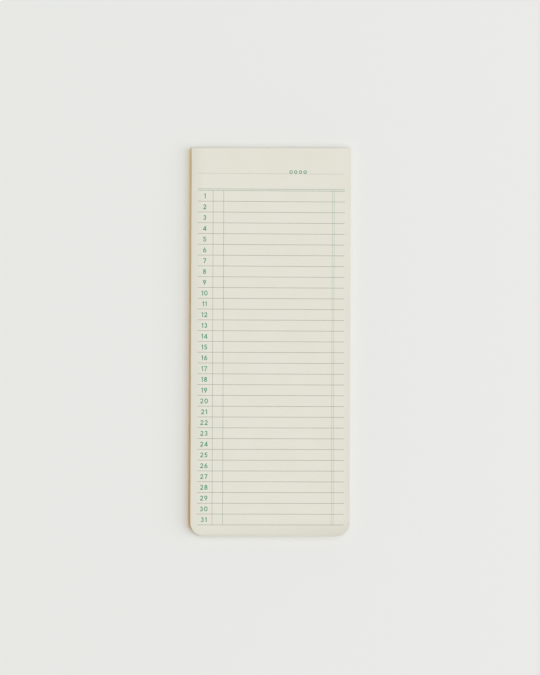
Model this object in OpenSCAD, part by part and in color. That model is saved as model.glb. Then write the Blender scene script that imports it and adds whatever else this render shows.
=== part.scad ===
// Sticky memo pad: printed sheets, each with a sticky band on its back, stacked on a backing board.
// The pad lies flat on its board, with the stuck edge at +Y, the free edge at -Y and +Z up.
// The origin is under the middle of the board.

/* [Sheets] */
// Width of a sheet, side to side
sheet_w = 77; // [40:1:150]
// Length of a sheet, from the stuck edge to the free edge
sheet_l = 180; // [80:1:300]
// Thickness of the paper
sheet_t = 0.08; // [0.05:0.01:0.3]
// Number of sheets in the pad
sheet_count = 25; // [2:1:29]
// Radius of the two round corners at the free edge
corner_r = 6; // [1:0.5:15]

/* [Sticky band] */
// Depth of the band that holds a sheet, measured in from the stuck edge
band_l = 18; // [8:1:30]
// Thickness of the adhesive film on the back of a sheet
film_t = 0.02; // [0.01:0.01:0.05]
// Bare margin between the film and the edges of the sheet
film_margin = 1; // [0.5:0.5:4]

/* [Backing board] */
// Thickness of the board
board_t = 0.6; // [0.4:0.1:3]

/* [Hidden] */
stuck_y = sheet_l / 2;
free_y = -sheet_l / 2;

// The top sheet bends where its sticky band ends
fold_y = stuck_y - band_l;

// Height that one sheet and the film under it add to the pad
layer_t = film_t + sheet_t;

paper_colour = [0.89, 0.88, 0.83];
film_colour = [0.94, 0.92, 0.82];
board_colour = [0.87, 0.83, 0.75];

$fn = 64;

// Sheet 1 is the top one, so it lies on all the others
function film_z(i) = board_t + (sheet_count - i) * layer_t;
function sheet_z(i) = film_z(i) + film_t;

function two_digits(i) = str(i < 10 ? "0" : "", i);
function sheet_name(i) = str("sheet_", two_digits(i));
function film_name(i) = str("adhesive_", two_digits(i));

// Outline from the free edge with its round corners up to a straight upper edge
module pad_outline(upper_y = stuck_y) {
    corner_x = sheet_w / 2 - corner_r;
    corner_y = free_y + corner_r;
    translate([-sheet_w / 2, corner_y])
        square([sheet_w, upper_y - corner_y]);
    translate([-corner_x, free_y])
        square([2 * corner_x, upper_y - free_y]);
    for (side = [-1, 1])
        translate([side * corner_x, corner_y])
            circle(r = corner_r);
}

// Board that the pad is built up on
module backing_board() {
    color(board_colour)
        linear_extrude(board_t)
            pad_outline();
}

// One whole sheet, lying flat in the stack
module sheet(i) {
    color(paper_colour)
        translate([0, 0, sheet_z(i)])
            linear_extrude(sheet_t)
                pad_outline();
}

// The part of the top sheet that its sticky band holds down
module sheet_01_bound_edge() {
    color(paper_colour)
        translate([-sheet_w / 2, fold_y, sheet_z(1)])
            cube([sheet_w, band_l, sheet_t]);
}

// The rest of the top sheet, which lifts and folds back along the end of its sticky band
module sheet_01_flap() {
    color(paper_colour)
        translate([0, 0, sheet_z(1)])
            linear_extrude(sheet_t)
                pad_outline(upper_y = fold_y);
}

// Film of adhesive between the back of a sheet and what lies under it
module adhesive(i) {
    color(film_colour)
        translate([film_margin - sheet_w / 2, fold_y, film_z(i)])
            cube([sheet_w - 2 * film_margin, band_l - film_margin, film_t]);
}

backing_board();
sheet_01_bound_edge();
sheet_01_flap();
for (i = [2 : sheet_count])
    sheet(i);
for (i = [1 : sheet_count])
    adhesive(i);
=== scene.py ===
"""Looks of a sticky memo pad: ruled cream sheets with sticky bands, stacked on a card board."""

import logging
import math
import random
from dataclasses import dataclass, field
from enum import Enum
from typing import Callable, ClassVar, Iterable

import bmesh
import bpy
from bmesh.types import BMEdge, BMesh, BMVert
from bpy.types import Material, Mesh, Node, NodeOutputs, NodeSocket, NodeTree, Object
from mathutils import Matrix, Vector


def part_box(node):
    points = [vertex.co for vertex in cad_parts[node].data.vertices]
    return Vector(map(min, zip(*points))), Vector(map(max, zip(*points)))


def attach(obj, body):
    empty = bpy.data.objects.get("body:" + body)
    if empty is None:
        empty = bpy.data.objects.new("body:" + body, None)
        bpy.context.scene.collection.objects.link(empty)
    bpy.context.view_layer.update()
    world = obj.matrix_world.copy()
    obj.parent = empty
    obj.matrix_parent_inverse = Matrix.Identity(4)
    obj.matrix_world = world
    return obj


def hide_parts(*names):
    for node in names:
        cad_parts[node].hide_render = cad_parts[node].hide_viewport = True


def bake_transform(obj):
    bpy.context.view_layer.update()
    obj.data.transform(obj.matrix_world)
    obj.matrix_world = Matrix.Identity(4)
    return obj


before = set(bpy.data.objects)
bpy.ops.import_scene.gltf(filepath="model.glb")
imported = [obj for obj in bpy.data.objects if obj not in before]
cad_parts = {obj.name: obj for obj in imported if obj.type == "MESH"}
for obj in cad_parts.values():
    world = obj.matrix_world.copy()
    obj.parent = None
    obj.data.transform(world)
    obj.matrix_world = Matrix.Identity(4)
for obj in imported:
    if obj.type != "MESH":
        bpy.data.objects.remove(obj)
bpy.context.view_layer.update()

log = logging.getLogger("memo_pad")

MM = 0.001
UV_NAME = "flat_sheet"
X_AXIS = Vector((1, 0, 0))
Y_AXIS = Vector((0, 1, 0))

# Where the middle of a sheet lies on its flat map
MAP_MIDDLE = 0.5

# Corners this close to a cutting plane, in metres, count as lying on it
CUT_TOLERANCE = 1e-8

# A face counts as upright if its normal rises or falls by less than this
UPRIGHT_LIMIT = 0.5

# Faces that meet at more than this angle have a sharp edge between them
SHARP_ANGLE = math.radians(35)

Colour = tuple[float, float, float]
Inputs = dict[str | int, NodeSocket | float | tuple[float, ...]]
Lift = Callable[[float, float], float]


class Slot(Enum):
    """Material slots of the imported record."""

    PAPER = "paper"
    BOARD = "board"
    ADHESIVE = "adhesive"
    INK = "ink"


class Ink(Enum):
    """Printing inks, numbered as the materials of a print."""

    RULE = 0
    COLUMN = 1
    NUMBER = 2


class Stroke(Enum):
    """Kinds of pen stroke that a digit is drawn with."""

    BAR = "bar"
    ARC = "arc"
    RING = "ring"


def linear(red: int, green: int, blue: int) -> Colour:
    """Converts a display colour to the linear values that shaders take.

    Args:
        red, green, blue: Channels from 0 to 255, as seen on a screen.

    Returns:
        The same colour as three linear numbers.
    """
    shares = (channel / 255 for channel in (red, green, blue))
    return tuple(s / 12.92 if s <= 0.04045 else ((s + 0.055) / 1.055) ** 2.4 for s in shares)


# Meshes

def rectangle(left: float, right: float, low: float, high: float) -> BMesh:
    """Starts a flat mesh with one upward face.

    Args:
        left, right: Ends of the face along X, in metres.
        low, high: Ends of the face along Y, in metres.

    Returns:
        A new bmesh that holds the face at height zero.
    """
    mesh = bmesh.new()
    corners = ((left, high), (left, low), (right, low), (right, high))
    mesh.faces.new([mesh.verts.new((x, y, 0.0)) for x, y in corners])
    return mesh


def cut_across(mesh: BMesh, axis: Vector, places: Iterable[float]) -> None:
    """Cuts a mesh through by planes square to an axis.

    Args:
        mesh: The mesh to cut.
        axis: Unit vector along which the planes are spaced.
        places: Where each plane stands along the axis, in metres.
    """
    for place in places:
        everything = mesh.verts[:] + mesh.edges[:] + mesh.faces[:]
        bmesh.ops.bisect_plane(
            mesh, geom=everything, dist=CUT_TOLERANCE, plane_co=axis * place, plane_no=axis
        )


def round_off(
    mesh: BMesh, parts: list[BMVert] | list[BMEdge], radius: float, segments: int
) -> None:
    """Rounds off the corners of an outline, or the edges of a slab.

    Args:
        mesh: The mesh to shape.
        parts: Its corners or edges to round off.
        radius: How far the rounding reaches on both sides of each, in metres.
        segments: How many steps it has.
    """
    bmesh.ops.bevel(
        mesh,
        geom=parts,
        offset=radius,
        offset_type="OFFSET",
        segments=segments,
        profile=0.5,
        affect="VERTICES" if isinstance(parts[0], BMVert) else "EDGES",
        material=-1,
    )


def thicken(mesh: BMesh, height: float) -> None:
    """Raises a closed slab of even height from the flat faces of a mesh.

    Args:
        mesh: A mesh whose faces are all flat and look up.
        height: Thickness of the slab, in metres.
    """
    raised = bmesh.ops.extrude_face_region(mesh, geom=mesh.faces[:])["geom"]
    upper = [part for part in raised if isinstance(part, BMVert)]
    bmesh.ops.translate(mesh, vec=(0.0, 0.0, height), verts=upper)
    bmesh.ops.recalc_face_normals(mesh, faces=mesh.faces[:])


def mark_cut_edges(mesh: BMesh) -> None:
    """Gives the upright faces of a flat slab material 1, and the level ones 0.

    Args:
        mesh: The slab, before it is bent.
    """
    mesh.normal_update()
    for face in mesh.faces:
        face.material_index = 1 if abs(face.normal.z) < UPRIGHT_LIMIT else 0


def raise_by(mesh: BMesh, base: float, lift: Lift) -> None:
    """Moves every corner up by a base height and by a lift that depends on its place.

    Args:
        mesh: The mesh to shape.
        base: Height that is the same everywhere, in metres.
        lift: Gives the further height, in metres, at a place on the flat sheet.
    """
    for corner in mesh.verts:
        corner.co.z += base + lift(corner.co.x, corner.co.y)


def lay_flat_map(mesh: BMesh, unit: float) -> None:
    """Gives a mesh a map that reads its place on the flat sheet.

    Args:
        mesh: The mesh, before it is bent.
        unit: Length that makes one unit of the map, in metres.
    """
    layer = mesh.loops.layers.uv.new(UV_NAME)
    for face in mesh.faces:
        for loop in face.loops:
            loop[layer].uv = [place / unit + MAP_MIDDLE for place in loop.vert.co.xy]


def keep_mesh(name: str, mesh: BMesh) -> Mesh:
    """Turns a finished bmesh into mesh data, and frees the bmesh.

    Args:
        name: Name of the data.
        mesh: The shape.

    Returns:
        The new mesh data.
    """
    data = bpy.data.meshes.new(name)
    mesh.to_mesh(data)
    mesh.free()
    return data


def place_piece(name: str, mesh: BMesh, materials: Iterable[Material]) -> Object:
    """Turns a finished bmesh into an object of the scene, and frees the bmesh.

    Args:
        name: Name of the piece.
        mesh: Its shape, in place.
        materials: Its materials, in the order of the faces' material numbers.

    Returns:
        The new object, at the origin.
    """
    data = keep_mesh(name, mesh)
    data.shade_smooth()
    data.set_sharp_from_angle(angle=SHARP_ANGLE)
    for material in materials:
        data.materials.append(material)
    piece = bpy.data.objects.new(name, data)
    bpy.context.scene.collection.objects.link(piece)
    log.info("%s: %d faces", name, len(data.polygons))
    return piece


# Finishes

@dataclass(frozen=True)
class Mottle:
    """How a pattern fades a colour in: from a low value on, to its full share at a high one."""

    low: float
    high: float
    share: float


class NodeGraph:
    """A tree of shader nodes, with short calls to add to it."""

    def __init__(self, tree: NodeTree) -> None:
        """Takes the tree that is added to."""
        self.tree = tree

    def add(self, kind: str, inputs: Inputs | None = None, **settings: object) -> Node:
        """Adds a node.

        Args:
            kind: Blender's name for the kind of node.
            inputs: What its inputs take, by name or number: a socket to link, or a value.
            **settings: Its other properties, by name.

        Returns:
            The new node.
        """
        node = self.tree.nodes.new(kind)
        for name, value in settings.items():
            setattr(node, name, value)
        for key, value in (inputs or {}).items():
            if isinstance(value, NodeSocket):
                self.join(value, node.inputs[key])
            else:
                node.inputs[key].default_value = value
        return node

    def join(self, source: NodeSocket, target: NodeSocket) -> None:
        """Links two sockets."""
        self.tree.links.new(source, target)

    def split(self, place: NodeSocket) -> NodeOutputs:
        """Returns the sockets X, Y and Z of a place."""
        return self.add("ShaderNodeSeparateXYZ", {"Vector": place}).outputs

    def multiply_add(
        self, first: NodeSocket, factor: NodeSocket | float, second: NodeSocket | float
    ) -> NodeSocket:
        """Multiplies a value by a factor and adds another value.

        Args:
            first: Socket with the value that is multiplied.
            factor: What it is multiplied by, a socket or a number.
            second: What is added, a socket or a number.

        Returns:
            Socket with the result.
        """
        inputs = {0: first, 1: factor, 2: second}
        return self.add("ShaderNodeMath", inputs, operation="MULTIPLY_ADD").outputs["Value"]


class ShaderGraph(NodeGraph):
    """A material's nodes, with short calls for the ones that the finishes use."""

    def __init__(self, name: str, roughness: float, specular: float) -> None:
        """Makes an empty material with one Principled shader.

        Args:
            name: Name of the material.
            roughness: Roughness of the whole surface.
            specular: Strength of its reflections, where 0.5 is the usual one.
        """
        self.material = bpy.data.materials.new(name)
        self.material.use_nodes = True
        super().__init__(self.material.node_tree)
        self.shader = self.tree.nodes["Principled BSDF"]
        self.shader.inputs["Roughness"].default_value = roughness
        self.shader.inputs["Specular IOR Level"].default_value = specular

    def flat_place(self) -> NodeSocket:
        """Returns the socket that reads a place on the flat sheet."""
        return self.add("ShaderNodeUVMap", uv_map=UV_NAME).outputs["UV"]

    def object_place(self) -> NodeSocket:
        """Returns the socket that reads a place in the part's own frame."""
        return self.add("ShaderNodeTexCoord").outputs["Object"]

    def stretched(self, place: NodeSocket, scale: tuple[float, float, float]) -> NodeSocket:
        """Returns the socket with a place scaled along X, Y and Z."""
        return self.add("ShaderNodeMapping", {"Vector": place, "Scale": scale}).outputs["Vector"]

    def noise(
        self, place: NodeSocket, scale: float, detail: float = 2.0, roughness: float = 0.5
    ) -> NodeSocket:
        """Adds a noise pattern.

        Args:
            place: Socket with the place to read.
            scale: How many features fit in one unit of the place.
            detail: Octaves of finer noise.
            roughness: Strength of the finer octaves.

        Returns:
            Socket with a value from 0 to 1.
        """
        inputs = {"Vector": place, "Scale": scale, "Detail": detail, "Roughness": roughness}
        return self.add("ShaderNodeTexNoise", inputs).outputs["Fac"]

    def spread(
        self,
        value: NodeSocket,
        low: float,
        high: float,
        least: float,
        most: float,
        soft: bool = False,
    ) -> NodeSocket:
        """Maps a value's range low..high to least..most, and clamps it.

        Args:
            value: Socket with the value.
            low, high: Range that is read.
            least, most: Range that is given back.
            soft: Whether the change eases in and out.

        Returns:
            Socket with the mapped value.
        """
        ends = {"From Min": low, "From Max": high, "To Min": least, "To Max": most}
        easing = "SMOOTHSTEP" if soft else "LINEAR"
        node = self.add("ShaderNodeMapRange", {"Value": value, **ends}, interpolation_type=easing)
        return node.outputs["Result"]

    def product(self, first: NodeSocket, second: NodeSocket) -> NodeSocket:
        """Returns the socket with two values multiplied."""
        node = self.add("ShaderNodeMath", {0: first, 1: second}, operation="MULTIPLY")
        return node.outputs["Value"]

    def tint(
        self, share: NodeSocket, first: NodeSocket | Colour, second: NodeSocket | Colour
    ) -> NodeSocket:
        """Mixes two colours.

        Args:
            share: Socket with the share of the second colour.
            first, second: A linear colour, or a socket with one.

        Returns:
            Socket with the mixed colour.
        """
        node = self.add("ShaderNodeMix", {"Factor": share}, data_type="RGBA")
        sockets = [socket for socket in node.inputs if socket.type == "RGBA"]
        for colour, socket in zip((first, second), sockets):
            if isinstance(colour, NodeSocket):
                self.join(colour, socket)
            else:
                socket.default_value = (*colour, 1.0)
        return next(socket for socket in node.outputs if socket.type == "RGBA")

    def mottled(
        self, pattern: NodeSocket, mottle: Mottle, first: NodeSocket | Colour, second: Colour
    ) -> NodeSocket:
        """Fades a second colour into a first one where a pattern is strong.

        Args:
            pattern: Socket with a value from 0 to 1.
            mottle: How the pattern fades the second colour in.
            first: A linear colour, or a socket with one.
            second: A linear colour.

        Returns:
            Socket with the mixed colour.
        """
        share = self.spread(pattern, mottle.low, mottle.high, 0.0, mottle.share)
        return self.tint(share, first, second)

    def paint(self, colour: NodeSocket) -> None:
        """Gives the shader its colour."""
        self.join(colour, self.shader.inputs["Base Color"])

    def bump(self, height: NodeSocket, depth: float, strength: float) -> None:
        """Gives the shader a bump from a height pattern.

        Args:
            height: Socket with the height, from 0 to 1.
            depth: Height of the bumps, in metres.
            strength: How far the bump counts.
        """
        inputs = {"Height": height, "Distance": depth, "Strength": strength}
        node = self.add("ShaderNodeBump", inputs)
        self.join(node.outputs["Normal"], self.shader.inputs["Normal"])


@dataclass(frozen=True)
class DarkerEdge:
    """A darker edge of a sheet, which at the free end is painted shade: its place and ends on the
    flat map, its reach in metres.
    """

    axis: str
    edge: float
    reach: float
    along: str
    ends: tuple[float, float]
    shares: tuple[float, float]


@dataclass(frozen=True)
class PaperFinish:
    """Uncoated cream writing paper, a little darker along its sides, with painted shade along its
    free end and that end's rim.
    """

    half_width: float
    length: float
    colour: Colour = linear(229, 227, 215)
    shade: Colour = linear(223, 220, 207)
    edge_darkening_and_painted_shade: Colour = linear(212, 208, 196)
    roughness: float = 0.88
    specular: float = 0.25
    cloud_size: float = 14 * MM
    clouds: Mottle = Mottle(0.4, 0.7, 0.35)
    fibre_size: float = 0.45 * MM
    fibre_stretch: tuple[float, float, float] = (1.0, 0.35, 1.0)
    fibres: Mottle = Mottle(0.35, 0.75, 0.6)
    noise_detail: float = 3.0
    tooth_size: float = 0.22 * MM
    tooth_depth: float = 0.012 * MM
    tooth_strength: float = 0.35
    left_darkening: tuple[float, float] = (0.22, 0.50)
    left_reach: float = 7 * MM
    right_darkening: tuple[float, float] = (0.30, 0.0)
    right_reach: float = 4 * MM
    # Painted shade along the free end and its rim: the curled end turned from the light, and the
    # shadow between the sheets' edges.
    end_painted_shade: tuple[float, float] = (0.12, 0.70)
    end_reach: float = 9 * MM
    rim_painted_shade: tuple[float, float] = (0.8, 0.0)
    rim_painted_shade_reach: float = 1.3 * MM

    def darker_edges(self) -> list[DarkerEdge]:
        """Lists the edges that are painted darker.

        Returns:
            The two sides, and the free end and its rim, where the darkening is painted shade.
        """
        side = self.half_width / self.length
        across, along = (MAP_MIDDLE - side, MAP_MIDDLE + side), (0.0, 1.0)
        return [
            DarkerEdge("X", across[0], self.left_reach, "Y", along, self.left_darkening),
            DarkerEdge("X", across[1], -self.right_reach, "Y", along, self.right_darkening),
            DarkerEdge("Y", along[0], self.end_reach, "X", across, self.end_painted_shade),
            DarkerEdge("Y", along[0], self.rim_painted_shade_reach, "X", across, self.rim_painted_shade),
        ]

    def material(self) -> Material:
        """Makes the paper's material, patterned on the flat sheet.

        Returns:
            The new material.
        """
        graph = ShaderGraph("cream_paper", self.roughness, self.specular)
        place = graph.flat_place()
        clouds = graph.noise(place, self.length / self.cloud_size, self.noise_detail)
        long_fibres = graph.stretched(place, self.fibre_stretch)
        fibres = graph.noise(long_fibres, self.length / self.fibre_size, self.noise_detail)
        mixed = graph.mottled(fibres, self.fibres, self.colour, self.shade)
        tone = graph.mottled(clouds, self.clouds, mixed, self.shade)
        axes = graph.split(place)
        # The sides get a little darker; along the free end and its rim this darkening is painted
        # shade.
        for rim in self.darker_edges():
            reached = rim.edge + rim.reach / self.length
            near = graph.spread(axes[rim.axis], rim.edge, reached, 1.0, 0.0, soft=True)
            share = graph.product(near, graph.spread(axes[rim.along], *rim.ends, *rim.shares))
            tone = graph.tint(share, tone, self.edge_darkening_and_painted_shade)
        graph.paint(tone)
        tooth = graph.noise(place, self.length / self.tooth_size)
        graph.bump(tooth, self.tooth_depth, self.tooth_strength)
        return graph.material


@dataclass(frozen=True)
class CutEdgeFinish:
    """Guillotined edge of the paper: cream, and brown along the left side of the stack, which is
    painted warm shade of the side that faces away from the light.
    """

    left: float
    free_edge: float
    upper_corner: float
    colour: Colour = linear(236, 231, 219)
    shade: Colour = linear(226, 218, 202)
    # Painted warm shade: the browns colour only the left side of the stack, the side that faces
    # away from the light.
    shaded_side_brown: Colour = linear(216, 168, 80)
    shaded_side_pale_brown: Colour = linear(245, 216, 144)
    shaded_side_dark_brown: Colour = linear(203, 153, 68)
    shaded_side_reach: float = 2.1 * MM
    corner_fade: float = 1.6 * MM
    roughness: float = 0.95
    specular: float = 0.15
    streak_length: float = 9 * MM
    streak_height: float = 0.12 * MM
    streak_detail: float = 3.0
    cream_streaks: Mottle = Mottle(0.3, 0.7, 1.0)
    shaded_side_streaks: Mottle = Mottle(0.3, 0.7, 0.6)

    def material(self) -> Material:
        """Makes the edge's material, streaked along the stack.

        Returns:
            The new material.
        """
        graph = ShaderGraph("cut_paper_edge", self.roughness, self.specular)
        place = graph.object_place()
        axes = graph.split(place)
        scale = (1 / self.streak_length, 1 / self.streak_length, 1 / self.streak_height)
        streaks = graph.noise(graph.stretched(place, scale), 1.0, self.streak_detail)
        cream = graph.mottled(streaks, self.cream_streaks, self.colour, self.shade)
        # Painted warm shade on the left side: brown, paler towards the upper corner, fading out
        # round both corners.
        along = graph.spread(axes["Y"], self.free_edge, self.upper_corner, 0.0, 1.0)
        plain = graph.tint(along, self.shaded_side_brown, self.shaded_side_pale_brown)
        shaded_side_brown = graph.mottled(streaks, self.shaded_side_streaks, plain, self.shaded_side_dark_brown)
        near = graph.spread(axes["X"], self.left, self.left + self.shaded_side_reach, 1.0, 0.0)
        fade_start = self.upper_corner - self.corner_fade
        below = graph.spread(axes["Y"], fade_start, self.upper_corner, 1.0, 0.0)
        graph.paint(graph.tint(graph.product(near, below), cream, shaded_side_brown))
        return graph.material


@dataclass(frozen=True)
class InkFinish:
    """Thin matt printing ink."""

    name: str
    colour: Colour
    thin: Colour
    roughness: float = 0.8
    specular: float = 0.2
    grain_size: float = 0.5 * MM
    grain: Mottle = Mottle(0.4, 0.75, 0.6)

    def material(self) -> Material:
        """Makes the ink's material, a little uneven as offset print is.

        Returns:
            The new material.
        """
        graph = ShaderGraph(self.name, self.roughness, self.specular)
        grain = graph.noise(graph.object_place(), 1 / self.grain_size)
        graph.paint(graph.mottled(grain, self.grain, self.colour, self.thin))
        return graph.material


@dataclass(frozen=True)
class CardFinish:
    """Stiff cream card with darker and paler fibres."""

    colour: Colour = linear(224, 216, 198)
    dark: Colour = linear(206, 194, 170)
    pale: Colour = linear(236, 230, 216)
    roughness: float = 0.9
    specular: float = 0.2
    fibre_size: float = 0.8 * MM
    fibre_stretch: tuple[float, float, float] = (1.0, 0.25, 1.0)
    fibre_contrast: float = 0.65
    fibres: Mottle = Mottle(0.35, 0.7, 0.7)
    fleck_size: float = 2.2 * MM
    fleck_contrast: float = 0.7
    flecks: Mottle = Mottle(0.58, 0.7, 0.8)
    noise_detail: float = 4.0
    relief_depth: float = 0.03 * MM
    relief_strength: float = 0.4

    def material(self) -> Material:
        """Makes the material of the board's two faces.

        Returns:
            The new material.
        """
        graph = ShaderGraph("cream_card", self.roughness, self.specular)
        place = graph.object_place()
        long_fibres = graph.stretched(place, self.fibre_stretch)
        fibres = graph.noise(
            long_fibres, 1 / self.fibre_size, self.noise_detail, self.fibre_contrast
        )
        flecks = graph.noise(place, 1 / self.fleck_size, self.noise_detail, self.fleck_contrast)
        base = graph.mottled(fibres, self.fibres, self.colour, self.dark)
        graph.paint(graph.mottled(flecks, self.flecks, base, self.pale))
        graph.bump(fibres, self.relief_depth, self.relief_strength)
        return graph.material


@dataclass(frozen=True)
class FilmFinish:
    """Removable adhesive: a thin, slightly shiny film with a pebbled face."""

    colour: Colour = linear(232, 226, 205)
    dull: Colour = linear(221, 213, 188)
    roughness: float = 0.38
    specular: float = 0.5
    pebble_size: float = 0.35 * MM
    pebble_depth: float = 0.01 * MM
    pebble_strength: float = 0.5
    pebbles_across_patch: int = 12
    patch_detail: float = 3.0
    patches: Mottle = Mottle(0.35, 0.7, 1.0)

    def material(self) -> Material:
        """Makes the film's material.

        Returns:
            The new material.
        """
        graph = ShaderGraph("adhesive_film", self.roughness, self.specular)
        place = graph.object_place()
        inputs = {"Vector": place, "Scale": 1 / self.pebble_size}
        pebbles = graph.add("ShaderNodeTexVoronoi", inputs)
        patch_size = self.pebbles_across_patch * self.pebble_size
        patches = graph.noise(place, 1 / patch_size, self.patch_detail)
        graph.paint(graph.mottled(patches, self.patches, self.colour, self.dull))
        graph.bump(pebbles.outputs["Distance"], self.pebble_depth, self.pebble_strength)
        return graph.material


@dataclass(frozen=True)
class FloorFinish:
    """Plain pale studio floor, painted a touch lighter towards the right, where the light comes
    from.
    """

    left: Colour = linear(231, 232, 228)
    right: Colour = linear(234, 234, 232)
    reach: float = 0.13
    roughness: float = 0.95
    specular: float = 0.0

    def material(self) -> Material:
        """Makes the floor's material.

        Returns:
            The new material.
        """
        graph = ShaderGraph("studio_floor", self.roughness, self.specular)
        across = graph.split(graph.object_place())["X"]
        # Painted light: the floor's colour brightens towards the right, the side of the key light.
        share = graph.spread(across, -self.reach, self.reach, 0.0, 1.0)
        graph.paint(graph.tint(share, self.left, self.right))
        return graph.material


# Sub-assemblies

@dataclass(frozen=True)
class PadFrame:
    """Sizes and heights of the pad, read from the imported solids, in metres."""

    left: float
    right: float
    free_edge: float
    stuck_edge: float
    fold: float
    board_top: float
    sheet_bases: tuple[float, ...]
    sheet_thickness: float
    corner_radius: float = 6 * MM
    corner_segments: int = 10
    askew: float = 0.5 * MM

    @classmethod
    def from_solids(cls) -> "PadFrame":
        """Reads the sizes from the boxes of the pad's nodes.

        Returns:
            The pad's sizes and heights.
        """
        low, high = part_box("backing_board")
        flap_low, flap_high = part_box("sheet_01_flap")
        bases = [flap_low.z]
        while f"sheet_{len(bases) + 1:02d}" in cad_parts:
            bases.append(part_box(f"sheet_{len(bases) + 1:02d}")[0].z)
        return cls(
            left=low.x,
            right=high.x,
            free_edge=low.y,
            stuck_edge=high.y,
            fold=flap_high.y,
            board_top=high.z,
            sheet_bases=tuple(bases),
            sheet_thickness=flap_high.z - flap_low.z,
        )

    @property
    def width(self) -> float:
        """Width of the pad."""
        return self.right - self.left

    @property
    def length(self) -> float:
        """Length of the pad."""
        return self.stuck_edge - self.free_edge

    @property
    def upper_left(self) -> float:
        """Place along Y of the upper left corner."""
        return self.stuck_edge - self.askew

    @property
    def top(self) -> float:
        """Height of the uppermost face."""
        return self.sheet_bases[0] + self.sheet_thickness

    def outline(self) -> BMesh:
        """Draws the outline that the sheets and the board share.

        Returns:
            A flat mesh with two round corners and an upper edge that is cut askew.
        """
        mesh = rectangle(self.left, self.right, self.free_edge, self.stuck_edge)
        upper_left = [corner for corner in mesh.verts if corner.co.x < 0 < corner.co.y]
        bmesh.ops.translate(mesh, vec=(0.0, -self.askew, 0.0), verts=upper_left)
        free_corners = [corner for corner in mesh.verts if corner.co.y < self.fold]
        round_off(mesh, free_corners, self.corner_radius, self.corner_segments)
        return mesh


@dataclass(frozen=True)
class PaperCurl:
    """How the loose ends of the sheets stand up, most on the top sheet."""

    pad: PadFrame
    end_height: float = 0.12 * MM
    end_reach: float = 8 * MM
    right_height: float = 0.34 * MM
    left_height: float = 0.04 * MM
    corner_reach: float = 12 * MM
    swell_height: float = 0.06 * MM
    loose_height: float = 0.42 * MM
    sheets_that_curl: int = 14

    # Where a sheet is cut so that it can curl, in millimetres from the edge that is named
    free_edge_cuts: tuple[float, ...] = (
        0.8, 1.6, 2.4, 3.2, 4.0, 5.0, 6.0, 7.5, 9.0, *range(11, 162, 10),
    )
    left_cuts: tuple[float, ...] = (1.5, 3, 4.5, 6, 8, 10, 13, 25, 40)
    right_cuts: tuple[float, ...] = (0.8, 1.6, 2.4, 3.2, 4.0, 5.0, 6.5, 8.0, 10.0, 12.5, 16.0)

    def lift_of(self, number: int) -> Lift:
        """Gives the lift of one sheet as a function of the place on it.

        Args:
            number: The sheet, counted from 1 at the top.

        Returns:
            A function from X and Y on the flat sheet to a height in metres.
        """
        share = max(0.0, 1 - (number - 1) / self.sheets_that_curl)
        return lambda x, y: share * self.top_lift(x, y)

    def top_lift(self, x: float, y: float) -> float:
        """Gives how far the top sheet stands up at a place on it.

        Args:
            x, y: The place on the flat sheet, in metres.

        Returns:
            The height above the flat sheet, in metres.
        """
        from_end = y - self.pad.free_edge
        end = max(0.0, 1 - from_end / self.end_reach) ** 2
        right = max(0.0, 1 - (from_end + self.pad.right - x) / self.corner_reach) ** 2
        left = max(0.0, 1 - (from_end + x - self.pad.left) / self.corner_reach) ** 2
        along = min(1.0, max(0.0, (self.pad.fold - y) / (self.pad.fold - self.pad.free_edge)))
        swell = math.sin(math.pi * along) ** 2
        return (
            self.end_height * end
            + self.right_height * right
            + self.left_height * left
            + self.swell_height * swell
            + self.loose_height * along**2
        )

    def cuts_across_length(self) -> list[float]:
        """Returns the places along Y where a sheet is cut, in metres."""
        return [self.pad.free_edge + cut * MM for cut in self.free_edge_cuts]

    def cuts_across_width(self) -> list[float]:
        """Returns the places along X where a sheet is cut, in metres."""
        left = [self.pad.left + cut * MM for cut in self.left_cuts]
        return left + [self.pad.right - cut * MM for cut in self.right_cuts]


@dataclass
class BackingBoard:
    """The stiff card under the sheets."""

    pad: PadFrame
    card: CardFinish = CardFinish()
    edge_round: float = 0.08 * MM
    edge_segments: int = 3

    def build(self) -> None:
        """Models the board with its pressed edges, and dresses it."""
        mesh = self.pad.outline()
        thicken(mesh, self.pad.board_top)
        level = self.pad.board_top / 2
        rims = [
            edge for edge in mesh.edges if abs(edge.verts[0].co.z - edge.verts[1].co.z) < level
        ]
        round_off(mesh, rims, self.edge_round, self.edge_segments)
        mark_cut_edges(mesh)
        rim = CutEdgeFinish(self.pad.left, self.pad.free_edge, self.pad.upper_left)
        board = place_piece("board", mesh, [self.card.material(), rim.material()])
        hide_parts("backing_board")
        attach(board, "backing")


@dataclass(frozen=True)
class Line:
    """A printed line: where its middle runs, how wide it is, and its ink."""

    place: float
    width: float
    ink: Ink

    def covers(self, place: float) -> bool:
        """Tells whether a place lies on the line."""
        return abs(place - self.place) < self.width / 2

    def sides(self) -> tuple[float, float]:
        """Returns the places of the line's two sides."""
        return self.place - self.width / 2, self.place + self.width / 2


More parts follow.
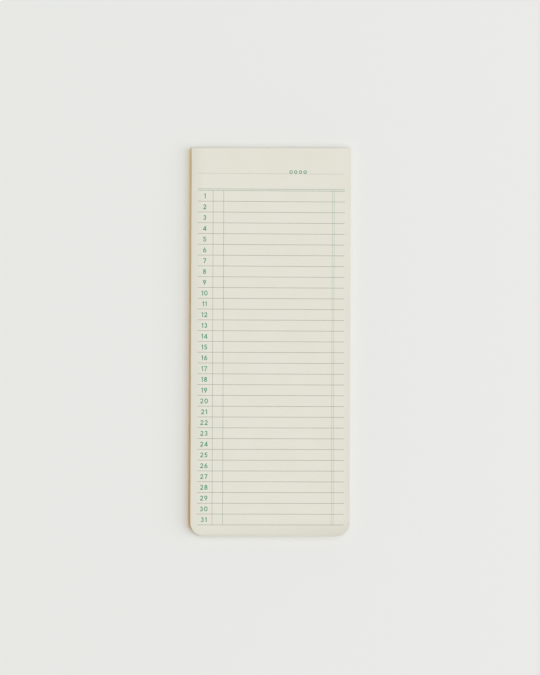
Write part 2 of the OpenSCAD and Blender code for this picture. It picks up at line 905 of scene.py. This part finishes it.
@dataclass(frozen=True)
class Ruling:
    """Layout of the printed lines and numbers, measured from the sheet's upper left corner."""

    pad: PadFrame
    rows: int = 31
    row_pitch: float = 5.0 * MM
    table_top: float = 20.0 * MM
    double_gap: float = 0.74 * MM
    title_line: float = 12.05 * MM
    line_start: float = 3.1 * MM
    line_end: float = 74.1 * MM
    columns: tuple[float, ...] = (10.45 * MM, 15.55 * MM)
    double_column: tuple[float, ...] = (68.15 * MM, 69.05 * MM)
    rule_width: float = 0.175 * MM
    head_width: float = 0.165 * MM
    column_width: float = 0.15 * MM
    fine_width: float = 0.085 * MM
    title_width: float = 0.08 * MM
    ink_gap: float = 0.002 * MM
    ink_thickness: float = 0.008 * MM

    def y(self, down: float) -> float:
        """Turns a distance below the stuck edge into Y."""
        return self.pad.stuck_edge - down

    def x(self, across: float) -> float:
        """Turns a distance from the left edge into X."""
        return self.pad.left + across

    def title(self) -> Line:
        """Returns the line for a title above the table."""
        return Line(self.y(self.title_line), self.title_width, Ink.RULE)

    def level_lines(self) -> list[Line]:
        """Lists the level lines, from the top down.

        Returns:
            The title line, the double rule and a rule under every row.
        """
        double = [self.table_top - self.double_gap, self.table_top]
        rules = [self.table_top + (row + 1) * self.row_pitch for row in range(self.rows)]
        return [
            self.title(),
            *(Line(self.y(down), self.head_width, Ink.COLUMN) for down in double),
            *(Line(self.y(down), self.rule_width, Ink.RULE) for down in rules),
        ]

    def upright_lines(self) -> list[Line]:
        """Lists the upright lines of the table.

        Returns:
            Two single lines and a fine pair.
        """
        return [
            *(Line(self.x(across), self.column_width, Ink.COLUMN) for across in self.columns),
            *(Line(self.x(across), self.fine_width, Ink.NUMBER) for across in self.double_column),
        ]

    def lines(self) -> BMesh:
        """Draws the level and the upright lines.

        Returns:
            One flat mesh without overlaps, whose material numbers are those of the inks.
        """
        levels, uprights = self.level_lines(), self.upright_lines()
        left, right = self.x(self.line_start), self.x(self.line_end)
        mesh = rectangle(left, right, levels[-1].sides()[0], levels[0].sides()[1])
        cut_across(mesh, Y_AXIS, [side for line in levels for side in line.sides()])
        cut_across(mesh, X_AXIS, [side for line in uprights for side in line.sides()])
        blank = []
        for face in mesh.faces:
            middle = face.calc_center_median()
            crossed = [line for line in levels if line.covers(middle.y)]
            if middle.y < self.y(self.table_top):
                crossed = [line for line in uprights if line.covers(middle.x)] + crossed
            if crossed:
                face.material_index = crossed[0].ink.value
            else:
                blank.append(face)
        bmesh.ops.delete(mesh, geom=blank, context="FACES")
        return mesh


@dataclass(frozen=True)
class DigitPen:
    """Draws plain geometric digits, one unit high, with strokes of even width."""

    stroke: float = 0.16
    ring_segments: int = 18
    degrees_per_step: float = 20.0
    layer_step: float = 0.001

    WIDTHS: ClassVar[dict[str, float]] = {
        "0": 0.76, "1": 0.37, "2": 0.68, "3": 0.66, "4": 0.71,
        "5": 0.67, "6": 0.69, "7": 0.66, "8": 0.66, "9": 0.69,
    }

    # Each stroke is its kind and the numbers that the method of that name takes
    SHAPES: ClassVar[dict[str, list[tuple]]] = {
        "0": [(Stroke.RING, 0.38, 0.5, 0.38, 0.5)],
        "1": [(Stroke.BAR, 0.29, 0.0, 0.29, 1.0), (Stroke.BAR, 0.29, 0.92, 0.05, 0.78)],
        "2": [
            (Stroke.ARC, 0.34, 0.68, 0.24, 175, -38),
            (Stroke.BAR, 0.540, 0.545, 0.06, 0.05),
            (Stroke.BAR, 0.02, 0.08, 0.67, 0.08),
        ],
        "3": [
            (Stroke.ARC, 0.32, 0.725, 0.195, 170, -90),
            (Stroke.ARC, 0.32, 0.305, 0.225, 90, -170),
        ],
        "4": [
            (Stroke.BAR, 0.52, 0.0, 0.52, 1.0),
            (Stroke.BAR, 0.53, 0.965, 0.05, 0.27),
            (Stroke.BAR, 0.01, 0.27, 0.71, 0.27),
        ],
        "5": [
            (Stroke.BAR, 0.13, 0.92, 0.61, 0.92),
            (Stroke.BAR, 0.19, 0.96, 0.13, 0.50),
            (Stroke.ARC, 0.32, 0.325, 0.25, 128, -160),
        ],
        "6": [(Stroke.RING, 0.345, 0.325, 0.345, 0.325), (Stroke.BAR, 0.47, 0.985, 0.11, 0.45)],
        "7": [(Stroke.BAR, 0.01, 0.92, 0.66, 0.92), (Stroke.BAR, 0.595, 0.92, 0.21, 0.0)],
        "8": [(Stroke.RING, 0.33, 0.74, 0.275, 0.26), (Stroke.RING, 0.33, 0.295, 0.33, 0.295)],
        "9": [(Stroke.RING, 0.345, 0.675, 0.345, 0.325), (Stroke.BAR, 0.22, 0.015, 0.58, 0.55)],
    }

    def bar(self, mesh: BMesh, x0: float, y0: float, x1: float, y1: float) -> None:
        """Adds a straight stroke.

        Args:
            mesh: The mesh to draw in.
            x0, y0: Where its middle line starts.
            x1, y1: Where its middle line ends.
        """
        start, end = Vector((x0, y0, 0)), Vector((x1, y1, 0))
        side = Vector((-(end - start).y, (end - start).x, 0)).normalized() * (self.stroke / 2)
        rim = mesh.edges.new([mesh.verts.new(start + side), mesh.verts.new(start - side)])
        drawn = bmesh.ops.extrude_edge_only(mesh, edges=[rim])["geom"]
        far = [part for part in drawn if isinstance(part, BMVert)]
        bmesh.ops.translate(mesh, vec=end - start, verts=far)

    def arc(
        self, mesh: BMesh, x: float, y: float, radius: float, first: float, last: float
    ) -> None:
        """Adds a round stroke.

        Args:
            mesh: The mesh to draw in.
            x, y: Centre of its middle line.
            radius: Radius of its middle line.
            first, last: Angles at which it starts and ends, in degrees.
        """
        direction = Vector((math.cos(math.radians(first)), math.sin(math.radians(first)), 0))
        centre = Vector((x, y, 0))
        ends = [centre + direction * (radius + side * self.stroke / 2) for side in (-1, 1)]
        rim = mesh.edges.new([mesh.verts.new(end) for end in ends])
        bmesh.ops.spin(
            mesh,
            geom=[*rim.verts, rim],
            cent=centre,
            axis=(0, 0, 1),
            angle=math.radians(last - first),
            steps=math.ceil(abs(last - first) / self.degrees_per_step),
            use_duplicate=False,
        )

    def ring(self, mesh: BMesh, x: float, y: float, across: float, up: float) -> None:
        """Adds a closed round stroke.

        Args:
            mesh: The mesh to draw in.
            x, y: Its centre.
            across, up: Its outer half width and half height.
        """
        place = Matrix.Translation((x, y, 0)) @ Matrix.Diagonal((across, up, 1, 1))
        made = bmesh.ops.create_circle(
            mesh, cap_ends=True, segments=self.ring_segments, radius=1.0, matrix=place
        )
        disc = made["verts"][0].link_faces[0]
        bmesh.ops.inset_region(
            mesh, faces=[disc], thickness=self.stroke, use_boundary=True, use_even_offset=True
        )
        bmesh.ops.delete(mesh, geom=[disc], context="FACES_ONLY")

    def glyph(self, digit: str) -> Mesh:
        """Draws one digit, each stroke a hair above the one before.

        Args:
            digit: A character from 0 to 9.

        Returns:
            A mesh of level faces, one unit high.
        """
        mesh = bmesh.new()
        tools = {Stroke.BAR: self.bar, Stroke.ARC: self.arc, Stroke.RING: self.ring}
        for layer, (kind, *sizes) in enumerate(self.SHAPES[digit]):
            known = set(mesh.verts)
            tools[kind](mesh, *sizes)
            fresh = [corner for corner in mesh.verts if corner not in known]
            bmesh.ops.translate(mesh, vec=(0.0, 0.0, layer * self.layer_step), verts=fresh)
        return keep_mesh(f"digit_{digit}", mesh)


@dataclass
class SheetPrint:
    """The ink on the face of each sheet."""

    ruling: Ruling
    curl: PaperCurl
    pen: DigitPen = DigitPen()
    number_middle: float = 6.4 * MM
    number_drop: float = 0.1 * MM
    digit_height: float = 2.25 * MM
    digit_gap: float = 0.23
    mark_count: int = 4
    mark_start: float = 48.05 * MM
    mark_step: float = 2.27 * MM
    mark_half_width: float = 0.78 * MM
    mark_half_height: float = 0.8 * MM
    mark_stroke: float = 0.32 * MM
    materials: list[Material] = field(init=False)

    def __post_init__(self) -> None:
        """Makes the inks, in the order of their numbers."""
        inks = {
            Ink.RULE: InkFinish("rule_ink", linear(138, 144, 129), linear(156, 160, 146)),
            Ink.COLUMN: InkFinish("column_ink", linear(118, 156, 132), linear(138, 170, 148)),
            Ink.NUMBER: InkFinish("number_ink", linear(28, 146, 108), linear(62, 158, 124)),
        }
        self.materials = [inks[ink].material() for ink in Ink]

    def numbers(self) -> BMesh:
        """Draws the row numbers.

        Returns:
            One flat mesh with all the numbers in place.
        """
        mesh = bmesh.new()
        glyphs = {digit: self.pen.glyph(digit) for digit in self.pen.SHAPES}
        for row in range(self.ruling.rows):
            text = str(row + 1)
            width = sum(self.pen.WIDTHS[digit] for digit in text) + self.digit_gap * (len(text) - 1)
            pen_x = self.ruling.x(self.number_middle) - width * self.digit_height / 2
            middle = self.ruling.table_top + (row + 0.5) * self.ruling.row_pitch + self.number_drop
            low = self.ruling.y(middle) - self.digit_height / 2
            for digit in text:
                known = set(mesh.verts)
                mesh.from_mesh(glyphs[digit])
                fresh = [corner for corner in mesh.verts if corner not in known]
                place = Matrix.Translation((pen_x, low, 0)) @ Matrix.Scale(self.digit_height, 4)
                bmesh.ops.transform(mesh, matrix=place, verts=fresh)
                pen_x += (self.pen.WIDTHS[digit] + self.digit_gap) * self.digit_height
        return mesh

    def draw_marks(self, mesh: BMesh) -> None:
        """Adds the row of small circles to fill in, which stand on the title line.

        Args:
            mesh: The mesh to draw in.
        """
        pen = DigitPen(stroke=self.mark_stroke)
        middle = self.ruling.title().sides()[1] + self.mark_half_height
        for index in range(self.mark_count):
            place = self.ruling.x(self.mark_start) + index * self.mark_step
            pen.ring(mesh, place, middle, self.mark_half_width, self.mark_half_height)

    def template(self, further_cuts: Iterable[float]) -> Mesh:
        """Makes the flat print that the sheets share.

        Args:
            further_cuts: Places along Y where this print has to bend besides the curl's own.

        Returns:
            A closed, very thin mesh whose material numbers are those of the inks.
        """
        green = self.numbers()
        self.draw_marks(green)
        green.normal_update()
        bmesh.ops.reverse_faces(green, faces=[face for face in green.faces if face.normal.z < 0])
        for face in green.faces:
            face.material_index = Ink.NUMBER.value
        mesh = self.ruling.lines()
        mesh.from_mesh(keep_mesh("numbers", green))
        cut_across(mesh, Y_AXIS, [*self.curl.cuts_across_length(), *further_cuts])
        cut_across(mesh, X_AXIS, self.curl.cuts_across_width())
        thicken(mesh, self.ruling.ink_thickness)
        return keep_mesh("flat_print", mesh)

    def build(self, number: int, template: Mesh) -> Object:
        """Lays the print on one sheet.

        Args:
            number: The sheet, counted from 1 at the top.
            template: The flat print.

        Returns:
            The print of that sheet.
        """
        pad = self.ruling.pad
        mesh = bmesh.new()
        mesh.from_mesh(template)
        face = pad.sheet_bases[number - 1] + pad.sheet_thickness
        raise_by(mesh, face + self.ruling.ink_gap, self.curl.lift_of(number))
        piece = place_piece(f"print_{number:02d}", mesh, self.materials)
        return piece


@dataclass
class SheetStack:
    """All the sheets, with their print and their sticky bands."""

    pad: PadFrame
    curl: PaperCurl
    sheet_print: SheetPrint
    film: FilmFinish = FilmFinish()
    bend_length: float = 1 * MM
    bend_steps: int = 16
    shuffle: float = 0.035 * MM
    seed: int = 11

    def bend_cuts(self) -> list[float]:
        """Returns the places along Y where the top sheet is cut so that it can fold back."""
        step = self.bend_length / self.bend_steps
        return [self.pad.fold - index * step for index in range(self.bend_steps + 1)]

    def sheet(self, number: int, materials: list[Material], offset: Vector) -> Object:
        """Models one sheet.

        Args:
            number: The sheet, counted from 1 at the top.
            materials: Those of its faces and of its cut edges.
            offset: How far it lies out of line with the stack.

        Returns:
            The sheet.
        """
        mesh = self.pad.outline()
        cuts = self.curl.cuts_across_length() + (self.bend_cuts() if number == 1 else [])
        cut_across(mesh, Y_AXIS, cuts)
        cut_across(mesh, X_AXIS, self.curl.cuts_across_width())
        lay_flat_map(mesh, self.pad.length)
        thicken(mesh, self.pad.sheet_thickness)
        mark_cut_edges(mesh)
        raise_by(mesh, self.pad.sheet_bases[number - 1], self.curl.lift_of(number))
        bmesh.ops.translate(mesh, vec=offset, verts=mesh.verts[:])
        piece = place_piece(f"sheet_{number:02d}_paper", mesh, materials)
        return piece

    def build(self) -> None:
        """Models every sheet and its print, and dresses the sticky bands."""
        face = PaperFinish(self.pad.width / 2, self.pad.length)
        edge = CutEdgeFinish(self.pad.left, self.pad.free_edge, self.pad.upper_left)
        materials = [face.material(), edge.material()]
        film = self.film.material()
        draw = random.Random(self.seed)
        top_print = self.sheet_print.template(self.bend_cuts())
        under_print = self.sheet_print.template([])
        for number in range(1, len(self.pad.sheet_bases) + 1):
            span = 0.0 if number == 1 else self.shuffle
            offset = Vector((draw.uniform(-span, span), draw.uniform(-span, span), 0))
            paper = self.sheet(number, materials, offset)
            ink = self.sheet_print.build(number, top_print if number == 1 else under_print)
            if number == 1:
                self.join_top_sheet(paper, ink)
            else:
                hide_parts(f"sheet_{number:02d}")
                for piece in (paper, ink):
                    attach(piece, f"sheet_{number:02d}")
            self.dress_film(f"adhesive_{number:02d}", film)

    def join_top_sheet(self, *pieces: Object) -> None:
        """Puts the top sheet and its print in place of the solids of its bound edge and flap.

        Args:
            *pieces: The sheet, and then its print.
        """
        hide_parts("sheet_01_bound_edge", "sheet_01_flap")
        for piece in pieces:
            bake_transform(piece)

    def dress_film(self, node: str, material: Material) -> None:
        """Gives a sticky band its finish.

        Args:
            node: Name of the band's solid, which is shown as it is.
            material: The film's material.
        """
        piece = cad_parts[node]
        piece.data.materials.clear()
        piece.data.materials.append(material)
        log.info("%s: kept as modelled", node)


# Studio

@dataclass(frozen=True)
class PhotoView:
    """Camera that looks down on the pad from a little to the left."""

    pad: PadFrame
    frame_height_px: float = 675
    pad_height_px: float = 388.0
    right_of_middle_px: float = 0.6
    below_middle_px: float = 4.2
    lean_deg: float = 16.5
    roll_deg: float = 0.25
    distance: float = 8.0
    sensor: float = 36.0

    def build(self) -> None:
        """Adds the camera and makes it the scene's own."""
        pixel = self.pad.length / self.pad_height_px
        lean, roll = math.radians(self.lean_deg), math.radians(self.roll_deg)
        back = Vector((-math.sin(lean), 0, math.cos(lean)))
        level, upright = Vector((math.cos(lean), 0, math.sin(lean))), Vector((0, 1, 0))
        across = level * math.cos(roll) + upright * math.sin(roll)
        up = upright * math.cos(roll) - level * math.sin(roll)
        target = Vector(((self.pad.left + self.pad.right) / 2, 0, self.pad.top))
        target += (up * self.below_middle_px - across * self.right_of_middle_px) * pixel
        data = bpy.data.cameras.new("photo_view")
        data.sensor_width = self.sensor
        data.lens = self.sensor * self.distance / (self.frame_height_px * pixel)
        camera = bpy.data.objects.new("photo_view", data)
        turn = Matrix((across, up, back)).transposed().to_4x4()
        camera.matrix_world = Matrix.Translation(target + back * self.distance) @ turn
        bpy.context.scene.collection.objects.link(camera)
        bpy.context.scene.camera = camera


@dataclass(frozen=True)
class Studio:
    """Pale floor, a soft key from the right, and a sky bright overhead and at the horizon."""

    floor_size: float = 40.0
    floor_drop: float = 0.02 * MM
    sky_horizon: float = 1.83
    sky_slope: float = -6.36
    sky_curve: float = 6.55
    key: float = 0.139
    key_height_deg: float = 30.0
    key_turn_deg: float = -8.0
    key_breadth_deg: float = 58.0
    backdrop: Colour = linear(232, 232, 230)

    def build(self) -> None:
        """Adds the floor, the light and the sky."""
        half = self.floor_size / 2
        mesh = rectangle(-half, half, -half, half)
        bmesh.ops.translate(mesh, vec=(0.0, 0.0, -self.floor_drop), verts=mesh.verts[:])
        place_piece("floor", mesh, [FloorFinish().material()])
        self.light()
        self.surround()
        bpy.context.scene.view_settings.view_transform = "Standard"

    def light(self) -> None:
        """Adds the soft light from the right."""
        height, turn = math.radians(self.key_height_deg), math.radians(self.key_turn_deg)
        towards = Vector(
            (math.cos(height) * math.cos(turn), math.cos(height) * math.sin(turn), math.sin(height))
        )
        data = bpy.data.lights.new("soft_key", "SUN")
        data.angle = math.radians(self.key_breadth_deg)
        data.energy = self.key * math.pi / towards.z
        lamp = bpy.data.objects.new("soft_key", data)
        lamp.rotation_mode = "QUATERNION"
        lamp.rotation_quaternion = towards.to_track_quat("Z", "Y")
        bpy.context.scene.collection.objects.link(lamp)

    def sky_strength(self, graph: NodeGraph) -> NodeSocket:
        """Works out the sky's strength, which changes with the height above the horizon.

        Args:
            graph: The world's nodes.

        Returns:
            Socket with the strength.
        """
        height = graph.split(graph.add("ShaderNodeTexCoord").outputs["Generated"])["Z"]
        slope = graph.multiply_add(height, self.sky_curve, self.sky_slope)
        return graph.multiply_add(slope, height, self.sky_horizon)

    def surround(self) -> None:
        """Lights the scene softly from all sides, before a pale backdrop."""
        world = bpy.data.worlds.new("studio")
        world.use_nodes = True
        bpy.context.scene.world = world
        nodes = world.node_tree.nodes
        graph = NodeGraph(world.node_tree)
        light = nodes["Background"]
        light.inputs["Color"].default_value = (1.0, 1.0, 1.0, 1.0)
        graph.join(self.sky_strength(graph), light.inputs["Strength"])
        seen = graph.add("ShaderNodeBackground", {"Color": (*self.backdrop, 1.0)})
        rays = graph.add("ShaderNodeLightPath").outputs
        seen_by = rays["Is Camera Ray"]
        for ray in ("Is Glossy Ray", "Is Transmission Ray"):
            seen_by = graph.multiply_add(seen_by, 1.0, rays[ray])
        mixed = {0: seen_by, 1: light.outputs[0], 2: seen.outputs[0]}
        choose = graph.add("ShaderNodeMixShader", mixed)
        graph.join(choose.outputs[0], nodes["World Output"].inputs["Surface"])


def main() -> None:
    """Builds the studio and the pad, piece by piece."""
    logging.basicConfig(level=logging.INFO, format="%(name)s %(message)s")
    pad = PadFrame.from_solids()
    PhotoView(pad).build()
    Studio().build()
    BackingBoard(pad).build()
    curl = PaperCurl(pad)
    SheetStack(pad, curl, SheetPrint(Ruling(pad), curl)).build()


if __name__ == "__main__":
    main()
